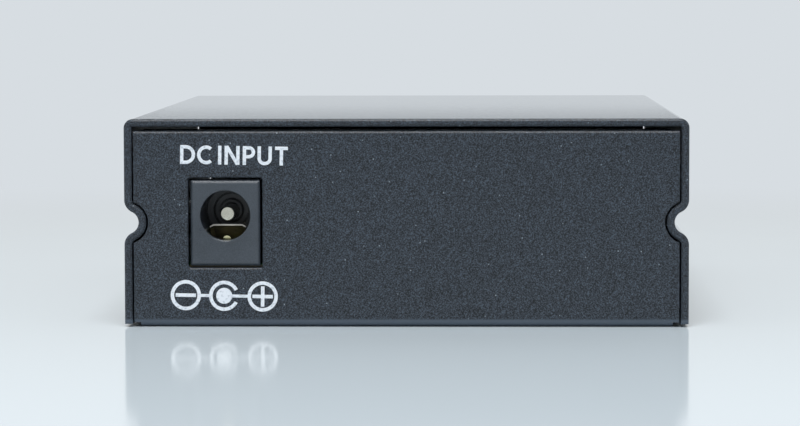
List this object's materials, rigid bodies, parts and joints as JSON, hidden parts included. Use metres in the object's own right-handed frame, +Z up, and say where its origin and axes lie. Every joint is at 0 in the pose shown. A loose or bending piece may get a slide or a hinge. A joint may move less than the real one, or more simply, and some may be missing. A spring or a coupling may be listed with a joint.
{
  "type": "fibre media converter",
  "caption": "Fibre media converter in a folded steel case with side guide grooves, a network jack, a duplex fibre port, indicator lamps and a low-voltage inlet.",
  "frame": {"origin": "middle of the case's underside", "axes": "+Z up through the top cover, +Y towards the front panel with the network and fibre ports, +X to the right seen from the rear"},
  "size_m": [0.073, 0.0944, 0.027],
  "materials": {
    "coated_steel": "fine-textured powder coat",
    "black_screw": "black zinc",
    "plated_steel": "bright tin plate",
    "nickel": "nickel plate",
    "brass": "plain brass",
    "gold_contact": "gold flash",
    "board": "solder mask",
    "jack_plastic": "moulded",
    "module_plastic": "moulded",
    "latch_plastic": "moulded",
    "ceramic": "ground zirconia",
    "lamp_resin": "moulded resin",
    "chip_resin": "moulded",
    "chip_ceramic": "fired",
    "ferrite": "pressed",
    "aluminium_can": "drawn",
    "clear_resin": "clear moulded"
  },
  "bodies": {
    "case": {"top_cover": "coated_steel", "base_tray": "coated_steel", "cover_screws": "black_screw", "main_board": "board", "board_standoffs": "plated_steel", "board_screws": "plated_steel", "dc_jack_body": "jack_plastic", "dc_jack_pin": "nickel", "dc_jack_terminal": "brass", "network_jack_shield": "plated_steel", "network_jack_housing": "jack_plastic", "network_jack_contacts": "gold_contact", "fibre_housing": "module_plastic", "fibre_sleeves": "ceramic", "fibre_latches": "latch_plastic", "fibre_collar": "plated_steel", "fibre_pins": "gold_contact", "light_pipe": "clear_resin", "status_lamps": "lamp_resin", "timing_crystal": "nickel", "power_inductor": "ferrite", "input_diode": "chip_resin", "input_capacitors": "aluminium_can", "chip_passives": "chip_ceramic", "converter_chip": "chip_resin", "network_chip": "chip_resin", "network_transformer": "chip_resin", "voltage_regulator": "chip_resin"},
    "plug_spring": {"dc_jack_leaf": "nickel"}
  },
  "joints": [
    {"name": "plug_spring_flex", "type": "hinge", "parent": "case", "child": "plug_spring", "pos_m": [-0.0234, -0.03575, 0.0094], "axis": [1, 0, 0], "range_deg": [0, 11], "stiffness_Nm_per_rad": 0.3}
  ]
}
